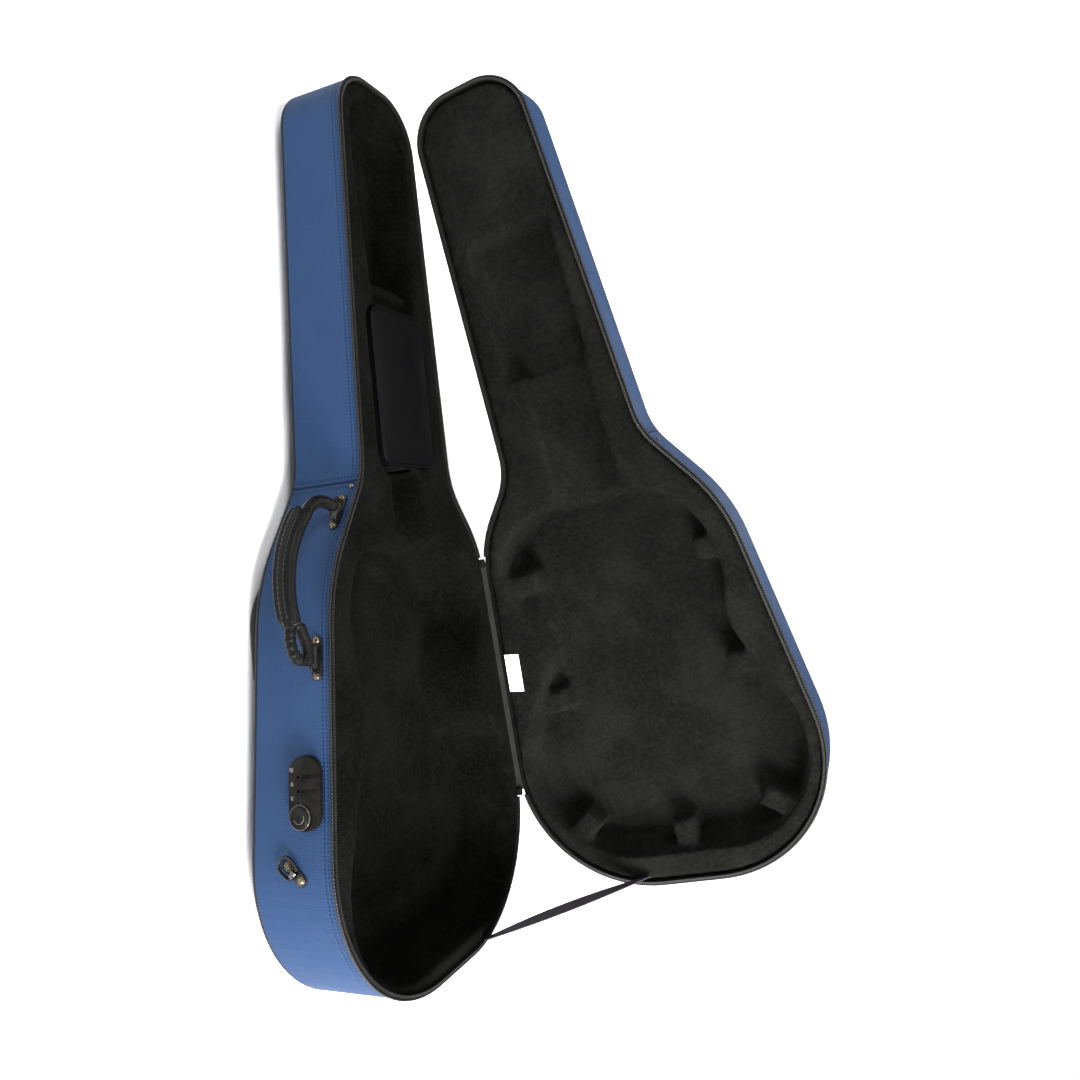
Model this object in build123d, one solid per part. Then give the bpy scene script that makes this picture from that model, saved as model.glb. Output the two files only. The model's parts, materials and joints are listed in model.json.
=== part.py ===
from build123d import *
import os
from math import atan2, cos, degrees, hypot, radians, sin

# A hard shell case for a classical guitar, zipped all round and hinged with cloth, lying open on its back.
# It is drawn in its own frame and laid down at the end: X runs towards the hinge, Y from the tail to the
# head and Z up out of the opening, square to the rim. Levels on the back are heights over its outer face.

# Plan outline: corner points before rounding, and the rounding at each
length = 1080
head_half = 76.5
head_round = 60
neck_half = 102
neck_at = 595.7
neck_round = 90
shoulder_half = 178.2
shoulder_at = 481.9
shoulder_round = 210
tail_half = 239
tail_round = 178
hinge_shoulder_half = 161.2
hinge_shoulder_at = 507.3
hinge_shoulder_round = 160
hinge_tail_half = 237.3
hinge_tail_round = 165
hinge_neck_half = 96
hinge_neck_at = 588

# Depths, and how far the lid stands open
tail_depth = 107.8
head_depth = 83
lid_tail_depth = 54
lid_head_depth = 66
zip_gap = 8
open_angle = 91.3

# Layers of the wall, from the outside in
cloth = 1
shell = 4
lay = 0.1
bore_deep = 16
peg_sides = 8
head_sides = 12
cord_sides = 8

# Edges: piping round the back and the lid, rim piping, zip and cloth hinge
piping_radius = 2.4
corner_cut = 6.4
rim_piping_radius = 1.4
zip_wide = 3.2
zip_tall = 3.7
hinge_from = 168
hinge_to = 478
hinge_cloth = 1.2
axis_clearance = 0.3
stretch_end = 15
running = 0.15

# Foam lining and its cavities
body_floor = 15
body_recess = 7
body_draft = 17
well_inset = 50
body_from = 22
body_to = 526

# The guitar body's cavity in the base and in the lid, from the tail up: each side's widest and narrowest
# corners and its neck corner as shares of the tail's half width and of the length, then the roundings
body_handle_corners = [(0.774, 0.149), (0.544, 0.301), (0.607, 0.418), (0.439, None)]
body_handle_rounds = [0.481, 0.427, 0.385, 0.439, 0.335]
body_hinge_corners = [(0.870, 0.195), (0.456, 0.304), (0.707, 0.405), (0.431, None)]
body_hinge_rounds = [0.502, 0.305, 0.414, 0.230, 0.544]
lid_handle_corners = [(0.810, 0.188), (0.565, 0.309), (0.727, 0.435), (0.304, None)]
lid_handle_rounds = [0.548, 0.435, 0.406, 0.519, 0.264]
lid_hinge_corners = [(0.837, 0.190), (0.481, 0.301), (0.636, 0.454), (0.335, None)]
lid_hinge_rounds = [0.586, 0.251, 0.293, 0.209, 0.209]

# What else is cut into the foam, or stands in it
heel_half = 35
heel_floor = 42
box_from = 612
box_to = 800
box_half = 56
box_depth = 66
box_wall = 3
flap_thick = 10
flap_proud = 5
flap_round = 18
finger_gap = 13
strip_wide = 12
strip_thick = 1.2
head_cavity_shift = 7
head_cavity_start_half = 48
head_cavity_half = 61
head_cavity_from = 808
head_cavity_widest = 975
head_cavity_to = 1060
head_cavity_round = 40
head_floor = 16
cradle_at = 821
cradle_wide = 27
cradle_drop = 5
cradle_end = 39
cradle_soft = 9

# Lid lining
lid_floor = 11
lid_draft = 8
lid_body_from = 40
lid_body_to = 530
lid_channel_half = 42
lid_channel_shift = -12
lid_channel_deep = 30
lid_neck_half = 57
lid_neck_shift = -4
lid_neck_from = 706
lid_neck_to = 890
lid_neck_deep = 34
block_reach = 42
block_wide = 32
block_low = 9
block_soft = 5
label_long = 53
label_wide = 21
label_at = 326
label_in = 18
label_thick = 0.5

# Handle: two brackets with a bar, and a leather grip on two loops
handle_up = 93.2
upper_bracket_at = 555
lower_bracket_at = 402.3
bracket_long = 46
bracket_wide = 13
plate_thick = 1.6
bar_radius = 2
bar_height = 11.2
bar_reach = 13
bar_bend = 4
screw_spacing = 37
screw_head = 3.4
screw_shank = 1.6
screw_long = 6.2
screw_dome = 1.8
grip_droop = 12
grip_reach = 45
grip_radius = 8
flange_out = 12
flange_thick = 3
loop_bore = 4.3
loop_outer = 8.3
loop_wide = 9
grip_low_reach = 26
grip_high_reach = 34
grip_low_gap = 27
grip_high_gap = 20
grip_lean = 6
leg_thick = 4
leg_spread = 4
roll_sides = 12

# Combination lock: housing, three dials, two slots and a round button
lock_at = 267.2
lock_up = 80.5
lock_long = 75.4
lock_wide = 35
lock_high = 12
lock_ridge = 1
lock_low_side = 5
lock_edge = 1.8
dial_radius = 6
dial_wide = 4.6
dial_pitch = 14
dial_first = -23.6
dial_proud = 1
dial_axle = 1
slot_first = -16.7
slot_pitch = 14.4
slot_across = 4
slot_long = 19.2
slot_wide = 2.4
slot_deep = 7
button_radius = 11.2
button_proud = 2.2
button_travel = 2
button_along = 23.2
button_across = -2.5
button_dish = 1.6
button_lip = 1.6
dial_sides = 10

# Strap rings, studs, sliders and the strap that holds the lid
ring_at = 187.3
ring_up = 61.9
ring_radius = 10.4
ring_wire = 1.7
ring_tilt = 49.6
ring_plate_long = 34
ring_rivet_reach = 10.3
ring_plate_wide = 13
ring_bend = 2
clip_wide = 8
clip_thick = 1.2
stud_radius = 3
stud_at = 583.7
stud_up = 100.9
lid_stud_at = 578
lid_stud_up = 138
slider_long = 11
slider_wide = 7.5
slider_thick = 6.6
puller_long = 26
puller_wide = 8
puller_thick = 1.6
puller_eye_wide = 4.5
eye_radius = 1.8
pin_radius = 0.9
pin_clearance = 0.08
pin_out = 4.8
pin_down = 2.4
stay_wide = 25
stay_thick = 1.2
stay_gap = 0.3
stay_base_x = 84
stay_lid_x = 66
stay_inset = 17

# Padded carrying straps that lie on the back, joined by a yoke
strap_thick = 19
strap_wide = 60
strap_out = 147
strap_from = 384
strap_bend_at = 446
strap_bend = 48
strap_aim = 20
strap_aim_at = 660
strap_soft = 7
yoke_at = 610
yoke_wide = 156
yoke_tall = 64
yoke_round = 12
sewing_gap = 0.3

rim = tail_depth
lid_rim = rim + zip_gap
back_tilt = atan2(tail_depth - head_depth, length)
lid_tilt = atan2(lid_head_depth - lid_tail_depth, length)
back_plane = Plane((0, 0, 0), x_dir=(1, 0, 0), z_dir=(0, -sin(back_tilt), cos(back_tilt)))
lid_plane = Plane((0, 0, lid_rim + lid_tail_depth), x_dir=(1, 0, 0), z_dir=(0, -sin(lid_tilt), cos(lid_tilt)))
shell_inset = cloth + lay
foam_inset = shell_inset + shell + lay

hinge_run = hypot(hinge_tail_half - hinge_shoulder_half, hinge_shoulder_at)
hinge_direction = Vector(hinge_shoulder_half - hinge_tail_half, hinge_shoulder_at, 0) / hinge_run
hinge_point = Vector(hinge_tail_half, 0, rim + zip_gap / 2)
hinge_axis = Axis(hinge_point, hinge_direction)

standing = (Align.CENTER, Align.CENTER, Align.MIN)
hanging = (Align.CENTER, Align.CENTER, Align.MAX)


def plan(inset=0):
    # the plan outline of the case, drawn in by inset
    corners = [
        (hinge_tail_half, 0),
        (hinge_shoulder_half, hinge_shoulder_at),
        (hinge_neck_half, hinge_neck_at),
        (head_half, length),
        (-head_half, length),
        (-neck_half, neck_at),
        (-shoulder_half, shoulder_at),
        (-tail_half, 0),
    ]
    rounds = [hinge_tail_round, hinge_shoulder_round, neck_round, head_round]
    rounds += [head_round, neck_round, shoulder_round, tail_round]
    face = make_face(FilletPolyline(*corners, radius=rounds, close=True))
    return offset(face, -inset, kind=Kind.INTERSECTION) if inset else face


def prism(inset, low, high):
    return Pos(0, 0, low) * extrude(plan(inset), high - low)


def band(outer, inner, low, high):
    # an upright wall that follows the outline
    return prism(outer, low, high) - prism(inner, low - 1, high + 1)


def over_back(level):
    # everything higher than this level over the back
    return back_plane.offset(level) * Box(2 * length, 4 * length, length, align=standing)


def under_lid(level):
    # everything further in than this level under the lid's outer face
    return lid_plane.offset(-level) * Box(2 * length, 4 * length, length, align=hanging)


def hinge_stretch(margin=0):
    # the stretch of the hinge side that the cloth hinge takes up
    middle = (hinge_from + hinge_to) / 2
    return Pos(tail_half, middle, rim) * Box(tail_half, hinge_to - hinge_from + 2 * margin, 2 * tail_depth)


def mirrored_profile(half):
    # a closed row of points from one half, given from the tail up along +X
    return half + [(-x, y) for x, y in reversed(half)]


def rounded(half, rounds):
    return make_face(FilletPolyline(*mirrored_profile(half), radius=rounds + rounds[::-1], close=True))


def opened(shape):
    # a lid piece, drawn closed, turned to where the lid stands open
    return shape.rotate(hinge_axis, open_angle)


def wall_plane(side, along, up):
    # a plane on the outer wall: Z outwards, Y up out of the case, X along the wall
    outline = plan()
    reach = Line((0, along), (side * 2 * tail_half, along)) & outline
    point = max(reach.vertices(), key=lambda v: side * v.X).center()
    edge = min(outline.edges(), key=lambda e: e.distance_to(point))
    tangent = edge.tangent_at(edge.param_at_point(point))
    outward = Vector(tangent.Y, -tangent.X, 0)
    outward = outward * (1 if outward.X * side > 0 else -1)
    return Plane((point.X, point.Y, up), x_dir=Vector(0, 0, 1).cross(outward), z_dir=outward)


def sunk_screw(plane, x, y, base, head_radius, shank_radius, shank_long):
    # a domed head on a plate of thickness base, with its shank behind it
    head = Pos(0, 0, base) * extrude(RegularPolygon(head_radius, head_sides), screw_dome)
    head = chamfer(head.edges().group_by(Axis.Z)[-1], screw_dome / 2)
    shank = Pos(0, 0, base) * extrude(RegularPolygon(shank_radius, peg_sides), -shank_long)
    return plane * Pos(x, y, 0) * (head + shank)


def bore(plane, x, y, radius, deep):
    return plane * Pos(x, y, 0) * extrude(RegularPolygon(radius, peg_sides), deep / 2, both=True)


# Walls: rigid tubs, cloth bands round them, cloth panels on the flat sides
def base_tub():
    outside = prism(shell_inset, -strap_thick, rim) & over_back(shell_inset)
    corner = outside.edges().filter_by(lambda e: e.center().Z < head_depth / 2)
    outside = chamfer(corner, corner_cut)
    inside = prism(shell_inset + shell, -strap_thick, rim + 1) & over_back(shell_inset + shell)
    return outside - inside


def lid_tub():
    outside = prism(shell_inset, lid_rim, lid_rim + 2 * lid_head_depth) & under_lid(shell_inset)
    corner = outside.edges().filter_by(lambda e: e.center().Z > lid_rim + lid_tail_depth / 2)
    outside = chamfer(corner, corner_cut)
    inside = prism(shell_inset + shell, lid_rim - 1, lid_rim + 2 * lid_head_depth)
    return outside - (inside & under_lid(shell_inset + shell))


def base_band():
    return band(0, cloth, -strap_thick, rim) & over_back(2 * piping_radius)


def lid_band():
    return band(0, cloth, lid_rim, lid_rim + 2 * lid_head_depth) & under_lid(2 * piping_radius)


def panel(plane, side):
    # a cloth panel inside the piping, on the back's or the lid's outer face
    sheet = extrude(plan(2 * piping_radius + lay), side * cloth)
    return plane * sheet


def edge_piping(plane, side, radius):
    path = plan(radius - lay).wire()
    start = path @ 0
    section = Plane(start, z_dir=path % 0) * RegularPolygon(radius, cord_sides)
    return plane * Pos(0, 0, side * radius) * sweep(section, path=path)


def rim_piping(level):
    path = plan(cloth - rim_piping_radius).wire()
    section = Plane(path @ 0, z_dir=path % 0) * RegularPolygon(rim_piping_radius, cord_sides)
    return Pos(0, 0, level) * sweep(section, path=path) - hinge_stretch(stretch_end)


def zip_row(low):
    row = band(shell_inset + lay, shell_inset + lay + zip_wide, low, low + zip_tall)
    return row - hinge_stretch(stretch_end)


def hinge_leaf(low, high):
    return band(0, hinge_cloth, low, high) & hinge_stretch()


# The foam lining of the base and what stands in it
def cavity_corners(corners, start, end, lean):
    # one side's corners in millimetres, from the tail up, drawn in by lean
    points = []
    for share, along in corners:
        points.append((share * tail_half - lean, end - lean / 2 if along is None else along * length))
    return [(points[0][0], start + lean)] + points


def body_shape(handle, hinge, start, end, lean=0):
    # a guitar body's outline: handle and hinge each give one side's corners and roundings
    right = cavity_corners(hinge[0], start, end, lean)
    left = [(-x, y) for x, y in cavity_corners(handle[0], start, end, lean)]
    rounds = []
    for side in (hinge[1], handle[1]):
        sizes = [share * tail_half for share in side]
        rounds.append([sizes[0] - lean, sizes[1], sizes[2], sizes[3], sizes[4] - lean])
    return make_face(FilletPolyline(*right, *left[::-1], radius=rounds[0] + rounds[1][::-1], close=True))


def base_shape(lean):
    handle = (body_handle_corners, body_handle_rounds)
    hinge = (body_hinge_corners, body_hinge_rounds)
    return body_shape(handle, hinge, body_from, body_to, lean)


def body_cavity():
    # its walls lean in to the floor, and a well lies inside a flat shelf on that floor
    floor = back_plane.offset(body_floor) * base_shape(body_draft)
    mouth = Pos(0, 0, rim) * base_shape(0)
    cavity = loft([floor, mouth], ruled=True)
    well = extrude(base_shape(body_draft + well_inset), body_floor - body_recess + 1)
    return cavity + back_plane.offset(body_recess) * well


def heel_channel():
    # the way for the neck's heel, flared where it meets the body's cavity
    flare = 1.5 * heel_half
    half = [
        (flare + heel_half, body_to - heel_half),
        (heel_half, body_to + heel_half / 2),
        (heel_half, box_from + lay),
    ]
    face = make_face(FilletPolyline(*mirrored_profile(half), radius=[0, 28, 0, 0, 28, 0], close=True))
    return back_plane.offset(heel_floor) * extrude(face, tail_depth)


def flap_face(grow):
    half_wide = box_half + grow
    middle = (box_from + box_to) / 2
    return Pos(0, middle) * RectangleRounded(2 * half_wide, box_to - box_from + 2 * grow, flap_round + grow)


def box_pocket():
    deep = box_depth + lay
    tray = Pos(0, 0, rim - flap_thick + flap_proud - deep) * extrude(flap_face(lay), tail_depth)
    flap = extrude(flap_face(2) + Pos(0, -finger_gap) * flap_face(2), tail_depth)
    return tray + Pos(0, 0, rim - flap_thick + flap_proud - lay) * flap


def head_cavity(inset=0):
    half = [
        (head_cavity_start_half - inset, head_cavity_from + inset),
        (head_cavity_half - inset, head_cavity_widest),
        (head_cavity_half - inset, head_cavity_to - inset),
    ]
    rounds = [head_cavity_round / 4, 2 * head_cavity_round, head_cavity_round]
    face = Pos(head_cavity_shift, 0) * rounded(half, rounds)
    return back_plane.offset(head_floor + inset) * extrude(face, tail_depth)


def base_foam():
    block = prism(foam_inset, -strap_thick, rim) & over_back(foam_inset)
    return block - body_cavity() - heel_channel() - box_pocket() - head_cavity()


def neck_cradle():
    # a foam roll across the head's cavity, from the handle side nearly to the hinge side
    top = rim - cradle_drop
    bar = Box(tail_half, cradle_wide, top, align=(Align.MAX, Align.CENTER, Align.MIN))
    bar = Pos(cradle_end, cradle_at, 0) * bar
    bar = chamfer(bar.edges().group_by(Axis.Z)[-1].filter_by(Axis.X), cradle_soft)
    bar = chamfer(bar.edges().filter_by(Axis.Z).group_by(Axis.X)[-1], cradle_soft)
    return bar & head_cavity(lay)


def box_tray():
    low = rim - flap_thick + flap_proud - box_depth
    outside = extrude(flap_face(0), box_depth - lay)
    inside = Pos(0, 0, box_wall) * extrude(flap_face(-box_wall), box_depth)
    return Pos(0, 0, low) * (outside - inside)


def box_flap():
    low = rim - flap_thick + flap_proud + lay
    flap = extrude(flap_face(0), flap_thick - lay)
    flap = chamfer(flap.edges().group_by(Axis.Z)[-1], flap_thick / 4)
    return Pos(0, 0, low) * flap


def flap_hinge_strip():
    # the leather strip that holds the flap to the lining on the hinge side
    middle = (box_from + box_to) / 2
    long = box_to - box_from - 2 * flap_round
    strip = Box(strip_wide, long, strip_thick, align=(Align.MIN, Align.CENTER, Align.MIN))
    return Pos(box_half + 2.5, middle, rim) * strip


# The foam lining of the lid
def lid_shape(lean):
    handle = (lid_handle_corners, lid_handle_rounds)
    hinge = (lid_hinge_corners, lid_hinge_rounds)
    return body_shape(handle, hinge, lid_body_from, lid_body_to, lean)


def lid_cavity():
    # the body's cavity, a channel for the neck that flares into it, and a deeper place for the nut
    floor_face = lid_plane.offset(-lid_floor) * lid_shape(lid_draft)
    body = loft([Pos(0, 0, lid_rim) * lid_shape(0), floor_face], ruled=True)
    flare = 1.5 * lid_channel_half
    half = [
        (flare + lid_channel_half / 2, lid_body_to - lid_channel_half),
        (lid_channel_half, lid_body_to + lid_channel_half / 2),
        (lid_channel_half, lid_neck_from + lay),
    ]
    rounds = [0, lid_channel_half, 0, 0, lid_channel_half, 0]
    face = make_face(FilletPolyline(*mirrored_profile(half), radius=rounds, close=True))
    channel = Pos(lid_channel_shift, 0, lid_rim - 1) * extrude(face, lid_channel_deep + 1)
    neck = Pos(lid_neck_shift, (lid_neck_from + lid_neck_to) / 2)
    neck = neck * RectangleRounded(2 * lid_neck_half, lid_neck_to - lid_neck_from, 10)
    return body + channel + Pos(0, 0, lid_rim - 1) * extrude(neck, lid_neck_deep + 1)


def lid_foam():
    block = prism(foam_inset, lid_rim, lid_rim + 2 * lid_head_depth) & under_lid(foam_inset)
    return block - lid_cavity()


def foam_block(place, turn, lining):
    # a wedge of foam that stands out from the wall of the lid's cavity
    deep = lid_tail_depth - lid_floor
    reach = block_reach + block_wide / 2
    block = Box(reach, block_wide, deep - block_low, align=(Align.MIN, Align.CENTER, Align.MIN))
    block = chamfer(block.edges().group_by(Axis.Z)[0], block_soft)
    block = Pos(place[0], place[1], lid_rim + block_low) * Rot(0, 0, turn) * Pos(-block_reach, 0, 0) * block
    free = (block & under_lid(foam_inset)) - lining
    return max(free.solids(), key=lambda solid: solid.volume)


def between(start, end, share):
    return (start[0] + (end[0] - start[0]) * share, start[1] + (end[1] - start[1]) * share)


def foam_blocks(lining):
    # three along each side and one at the tail, placed from the corners of the cavity
    blocks = [foam_block((0, lid_body_from), -90, lining)]
    sides = ((1, lid_hinge_corners, (0, 0, -35)), (-1, lid_handle_corners, (180, 180, -145)))
    for side, corners, turns in sides:
        tail, lower, waist, upper, neck = cavity_corners(corners, lid_body_from, lid_body_to, 0)
        places = [between(waist, upper, 0.7), between(waist, lower, 0.45), between(tail, (0, lower[1]), 0.22)]
        for (x, y), turn in zip(places, turns):
            blocks.append(foam_block((side * x, y), turn, lining))
    return blocks


def label_patch():
    slope = (hinge_tail_half - hinge_shoulder_half) / hinge_shoulder_at
    patch = Box(label_wide, label_long, label_thick, align=hanging)
    place = Pos(hinge_tail_half - slope * label_at - label_in, label_at, lid_rim)
    return place * Rot(0, 0, degrees(atan2(slope, 1))) * patch


# The handle and its brackets
def bracket_plane(along):
    return wall_plane(-1, along, handle_up)


def bracket(along):
    plate = extrude(SlotOverall(bracket_long, bracket_wide), plate_thick)
    path = FilletPolyline(
        (-bar_reach, 0, plate_thick / 2),
        (-bar_reach, 0, bar_height),
        (bar_reach, 0, bar_height),
        (bar_reach, 0, plate_thick / 2),
        radius=bar_bend,
    )
    bar = sweep(Plane(path @ 0, z_dir=path % 0) * RegularPolygon(bar_radius, cord_sides), path=path)
    holes = []
    for side in (-1, 1):
        holes.append(bore(Plane.XY, side * screw_spacing / 2, 0, screw_shank + lay, 4 * plate_thick))
    return bracket_plane(along) * (plate + bar - holes)


def handle_points():
    low = bracket_plane(lower_bracket_at)
    high = bracket_plane(upper_bracket_at)
    return low.origin + low.z_dir * bar_height, high.origin + high.z_dir * bar_height


handle_low, handle_high = handle_points()
handle_direction = (handle_high - handle_low).normalized()
handle_middle = (handle_low + handle_high) * 0.5
handle_half = (handle_high - handle_low).length / 2


def handle_plane():
    # X along the two bars towards the head, Y out to the grip, Z up
    outward = Vector(-handle_direction.Y, handle_direction.X, 0)
    droop = radians(grip_droop)
    reach = outward * cos(droop) - Vector(0, 0, sin(droop))
    return Plane(handle_middle, x_dir=handle_direction, z_dir=handle_direction.cross(reach))


def grip_path():
    low = (-handle_half + grip_low_gap, grip_low_reach)
    return ThreePointArc(low, (grip_lean, grip_reach), (handle_half - grip_high_gap, grip_high_reach))


def handle_grip():
    # a leather roll with a stitched flange along its outer side
    path = grip_path()
    flange = Pos(0, -flange_out / 2) * Rectangle(flange_thick, flange_out)
    section = RegularPolygon(grip_radius, roll_sides) + flange
    return handle_plane() * sweep(Plane(path @ 0, x_dir=(0, 0, 1), z_dir=path % 0) * section, path=path)


def loop_end(side, grip_end):
    # a leather loop round the bar, whose two flat ends run on to the grip
    centre = Vector(side * handle_half, 0, 0)
    eye = Cylinder(loop_outer, loop_wide) - Cylinder(loop_bore, 2 * loop_wide)
    eye = Pos(*centre) * Rot(0, 90, 0) * eye
    middle = (loop_bore + loop_outer) / 2
    for level in (-1, 1):
        foot = centre + Vector(0, 0, level * middle)
        top = grip_end + Vector(0, 0, level * leg_spread)
        leg = Box(loop_wide, leg_thick, (top - foot).length, align=standing)
        along = (top - foot).normalized()
        eye = eye + Plane(foot, x_dir=along.cross(Vector(0, 0, 1)), z_dir=along) * leg
    return eye - Pos(*centre) * Rot(0, 90, 0) * Cylinder(loop_bore, 2 * loop_wide)


def handle_loops():
    path = grip_path()
    section = RegularPolygon(grip_radius + lay, roll_sides)
    roll = sweep(Plane(path @ 0, x_dir=(0, 0, 1), z_dir=path % 0) * section, path=path)
    return [handle_plane() * (loop_end(side, path @ max(side, 0)) - roll) for side in (-1, 1)]


# The combination lock
lock_plane = wall_plane(-1, lock_at, lock_up)


def dial_place(index):
    across = dial_radius - lock_wide / 2 - dial_proud
    return Pos(dial_first + index * dial_pitch, across, lock_high / 2) * Rot(0, 90, 0)


def lock_body():
    # the face is flat up to a ridge and slopes from there down to the rim side
    half = lock_wide / 2
    section = [(-half, 0), (half, 0), (half, lock_low_side), (lock_ridge, lock_high), (-half, lock_high)]
    wedge = extrude(Plane.YZ * make_face(Polyline(*section, close=True)), lock_long, both=True)
    body = extrude(SlotOverall(lock_long, lock_wide), lock_high)
    body = chamfer(body.edges().group_by(Axis.Z)[-1], lock_edge) & wedge
    for index in range(3):
        body -= dial_place(index) * Cylinder(dial_radius + 0.5, dial_wide + 0.8)
    for index in range(3):
        body += dial_place(index) * Cylinder(dial_axle, dial_wide + 2)
    for index in range(2):
        slot = Box(slot_wide, slot_long, 2 * slot_deep)
        body -= Pos(slot_first + index * slot_pitch, slot_across, lock_high) * slot
    body -= Pos(button_along, button_across, lock_high) * Cylinder(button_radius + running, 2 * slot_deep)
    return lock_plane * body


def lock_dial(index):
    dial = extrude(RegularPolygon(dial_radius, dial_sides), dial_wide / 2, both=True)
    return lock_plane * dial_place(index) * (dial - Cylinder(dial_axle + 0.05, 2 * dial_wide))


def lock_button():
    tall = slot_deep + button_proud - button_travel - running
    button = Cylinder(button_radius, tall, align=hanging)
    button = chamfer(button.edges().group_by(Axis.Z)[-1], button_lip / 2)
    button -= Cone(button_lip, button_radius - button_lip, button_dish, align=hanging)
    return lock_plane * Pos(button_along, button_across, lock_high + button_proud) * button


# Strap rings
def ring_plane(side):
    # X runs along the plate, from the ring's rivet to the far one
    return wall_plane(side, ring_at, ring_up) * Rot(0, 0, ring_tilt if side < 0 else 180 - ring_tilt)


def ring_plate(side):
    plate = Pos(0, 0, lay) * extrude(SlotOverall(ring_plate_long, ring_plate_wide), plate_thick)
    holes = [bore(Plane.XY, end * ring_rivet_reach, 0, screw_shank + lay, 4 * plate_thick) for end in (-1, 1)]
    return ring_plane(side) * (plate - holes)


def ring_clip(side):
    # the clip that holds the ring's straight bar down on its plate
    bore_radius = ring_wire + running
    tall = 2 * bore_radius + clip_thick
    clip = Box(2 * (bore_radius + clip_thick), clip_wide, tall, align=standing)
    clip = chamfer(clip.edges().group_by(Axis.Z)[-1].filter_by(Axis.Y), bore_radius / 2)
    clip -= Pos(0, 0, bore_radius) * Rot(90, 0, 0) * Cylinder(bore_radius, 2 * clip_wide)
    clip -= Box(2 * bore_radius, 2 * clip_wide, 2 * bore_radius)
    return ring_plane(side) * Pos(0, 0, plate_thick + lay) * clip


def strap_ring(side):
    # a ring with one straight side, which turns in the clip
    near = ring_radius - ring_bend
    far = -2 * ring_radius
    corners = [(0, -near, 0), (0, near, 0), (far, ring_radius, 0), (far, -ring_radius, 0)]
    rounds = [ring_bend, ring_bend, 0.9 * ring_radius, 0.9 * ring_radius]
    path = FilletPolyline(*corners, radius=rounds, close=True)
    wire = sweep(Plane(path @ 0, z_dir=path % 0) * RegularPolygon(ring_wire, cord_sides), path=path)
    return ring_plane(side) * Pos(0, 0, plate_thick + lay + ring_wire + running) * wire


# Zip sliders and pullers
def slider_place(end):
    # X out of the wall, Y along the rim, at the middle of the zip's gap
    along = hinge_to + stretch_end / 2 if end > 0 else hinge_from - stretch_end / 2
    plane = wall_plane(1, along, rim + zip_gap / 2)
    return Plane(plane.origin, x_dir=plane.z_dir, z_dir=(0, 0, 1))


def slider(end):
    # a body on the zip with two ears that hold the puller's pin
    body = Pos(-1, 0, -0.5) * Box(slider_wide, slider_long, slider_thick)
    body = chamfer(body.edges().filter_by(Axis.Z), 1.5)
    outer = slider_wide / 2 - 1
    for side in (-1, 1):
        reach = pin_out + eye_radius - outer + 1
        ear = Box(reach, 1.2, 2 * eye_radius, align=(Align.MIN, Align.CENTER, Align.CENTER))
        body += Pos(outer - 1, side * (puller_eye_wide / 2 + 0.8), -pin_down) * ear
    body += Pos(pin_out, 0, -pin_down) * Rot(90, 0, 0) * Cylinder(pin_radius, puller_eye_wide + 2)
    return slider_place(end) * body


def puller(end):
    # an eye on the pin and a long tab with a hole for the lock
    eye = Rot(90, 0, 0) * Cylinder(eye_radius, puller_eye_wide)
    tab = Pos(0, 0, -eye_radius / 2) * Box(puller_thick, puller_eye_wide, 6, align=hanging)
    blade_long = puller_long - 5
    blade = SlotOverall(blade_long, puller_wide, rotation=90)
    blade = Plane.YZ * Pos(0, -5 - blade_long / 2) * blade
    blade = extrude(blade, puller_thick / 2, both=True)
    hole = Rot(0, 90, 0) * Cylinder(puller_wide / 4, 4 * puller_thick)
    hole = Pos(0, 0, -puller_long + puller_wide / 2) * hole
    pin_hole = Rot(90, 0, 0) * Cylinder(pin_radius + pin_clearance, 4 * puller_eye_wide)
    return slider_place(end) * Pos(pin_out, 0, -pin_down) * (eye + tab + blade - hole - pin_hole)


# The strap that stops the lid, sewn in between the lining and the walls' cloth at both ends
def stay_strap():
    # a flat band between the two rims: it lies along the base's tail edge and along the lid's
    base = Vector(stay_base_x, stay_inset, rim + stay_gap)
    low = [base + Vector(side * stay_wide / 2, 0, 0) for side in (-1, 1)]
    ends = []
    for side in (-1, 1):
        ends.append(Pos(stay_lid_x + side * stay_wide / 2, stay_inset, lid_rim - stay_gap) * Vertex())
    high = [opened(end).center() for end in ends]
    across = (high[0] + high[1]) * 0.5 - base
    face_plane = Plane(base, x_dir=(1, 0, 0), z_dir=across.cross(Vector(1, 0, 0)))
    corners = [face_plane.to_local_coords(point) for point in (low[0], low[1], high[1], high[0])]
    outline = Polyline(*[(corner.X, corner.Y) for corner in corners], close=True)
    return face_plane * extrude(make_face(outline), stay_thick / 2, both=True)


# Carrying straps on the back
def padded(face):
    pad = extrude(face, -strap_thick)
    return chamfer(pad.edges().group_by(Axis.Z)[0], strap_soft)


def carrying_strap(side):
    path = FilletPolyline(
        (side * strap_out, strap_from),
        (side * strap_out, strap_bend_at),
        (-side * strap_aim, strap_aim_at),
        radius=strap_bend,
    )
    top = yoke_at - yoke_tall / 2 - sewing_gap
    above = Pos(0, top) * Rectangle(2 * tail_half, length, align=(Align.CENTER, Align.MIN))
    return back_plane * padded(make_face(offset(path, strap_wide / 2)) - above)


def yoke():
    return back_plane * padded(Pos(0, yoke_at) * RectangleRounded(yoke_wide, yoke_tall, yoke_round))


os.makedirs("parts", exist_ok=True)
laid = Pos(0, -yoke_at, strap_thick) * back_plane.location.inverse()


def keep(name, shape):
    solids = shape if isinstance(shape, list) else [shape]
    solids = [laid * solid for piece in solids for solid in piece.solids()]
    whole = solids[0] if len(solids) == 1 else Compound(children=solids)
    whole.label = name
    export_step(whole, f"parts/{name}.step")
    print(name, len(solids), "solids", round(sum(solid.volume for solid in solids) / 1000, 1), "cm3")


def keep_lid(name, shape):
    solids = shape if isinstance(shape, list) else [shape]
    keep(name, [opened(solid) for piece in solids for solid in piece.solids()])


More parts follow.
